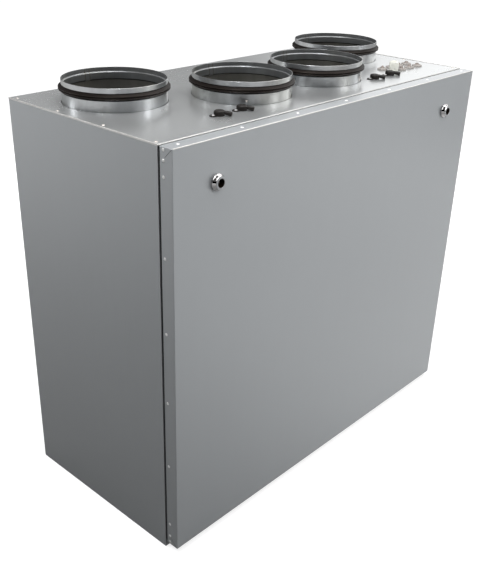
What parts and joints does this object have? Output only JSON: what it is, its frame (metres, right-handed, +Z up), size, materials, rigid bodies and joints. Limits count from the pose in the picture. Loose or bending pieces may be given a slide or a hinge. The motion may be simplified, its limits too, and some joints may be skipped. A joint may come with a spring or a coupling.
{
  "type": "air handling unit",
  "caption": "Upright floor-standing air handling unit with round duct collars on its roof, a lift-off front door with two locks, and heat recovery parts inside.",
  "frame": {"origin": "on the floor, under the middle of the casing's width and depth (door closed)", "axes": "+X to the right as seen from the door, +Y from the door to the back, +Z up"},
  "size_m": [1.19, 0.587, 1.104],
  "materials": {
    "casing_steel": "satin grey coated sheet",
    "roof_steel": "galvanised sheet, satin",
    "liner_steel": "galvanised liner sheet",
    "collar_steel": "galvanised, fairly bright",
    "seal_rubber": "dark brown-black rubber",
    "seal_foam": "black closed-cell foam",
    "lock_chrome": "polished",
    "lock_core": "dark",
    "tap_plastic": "moulded, black",
    "gland_plastic": "off-white",
    "grommet_rubber": "pale grey, slightly pink",
    "exchanger_foil": "stacked foil plates",
    "filter_media": "pleated, white",
    "fan_plastic": "moulded, black",
    "motor_metal": "dark cast housing",
    "tray_metal": "pressed sheet",
    "box_plastic": "grey, closed"
  },
  "bodies": {
    "casing": {"back_panel": "casing_steel", "base_panel": "casing_steel", "cable_grommets": "grommet_rubber", "collar_seal_1": "seal_rubber", "collar_seal_2": "seal_rubber", "collar_seal_3": "seal_rubber", "collar_seal_4": "seal_rubber", "control_box": "box_plastic", "door_seal": "seal_foam", "drip_tray": "tray_metal", "duct_collar_1": "collar_steel", "duct_collar_2": "collar_steel", "duct_collar_3": "collar_steel", "duct_collar_4": "collar_steel", "filter_rails": "liner_steel", "gland_body": "gland_plastic", "gland_nut": "gland_plastic", "heat_exchanger": "exchanger_foil", "left_fan_motor": "motor_metal", "left_fan_plate": "liner_steel", "left_fan_wheel": "fan_plastic", "left_filter": "filter_media", "left_shaft_partition": "liner_steel", "left_side_panel": "casing_steel", "lower_partition": "liner_steel", "pressure_tap_1": "tap_plastic", "pressure_tap_2": "tap_plastic", "pressure_tap_3": "tap_plastic", "pressure_tap_4": "tap_plastic", "right_fan_motor": "motor_metal", "right_fan_plate": "liner_steel", "right_fan_wheel": "fan_plastic", "right_filter": "filter_media", "right_shaft_partition": "liner_steel", "right_side_panel": "casing_steel", "roof_insulation": "liner_steel", "top_panel": "roof_steel", "upper_partition": "liner_steel"},
    "door": {"door_skin": "casing_steel", "door_inner_panel": "liner_steel", "left_lock_bezel": "lock_chrome", "right_lock_bezel": "lock_chrome"},
    "left_lock": {"left_lock_core": "lock_core"},
    "right_lock": {"right_lock_core": "lock_core"}
  },
  "joints": [
    {"name": "door_lift_off", "type": "slide", "parent": "casing", "child": "door", "axis": [0, -1, 0], "range_m": [0, 0.4]},
    {"name": "left_lock_turn", "type": "hinge", "parent": "door", "child": "left_lock", "pos_m": [-0.469, -0.287, 0.955], "axis": [0, 1, 0], "range_deg": [0, 90]},
    {"name": "right_lock_turn", "type": "hinge", "parent": "door", "child": "right_lock", "pos_m": [0.454, -0.287, 0.955], "axis": [0, -1, 0], "range_deg": [0, 90]}
  ]
}
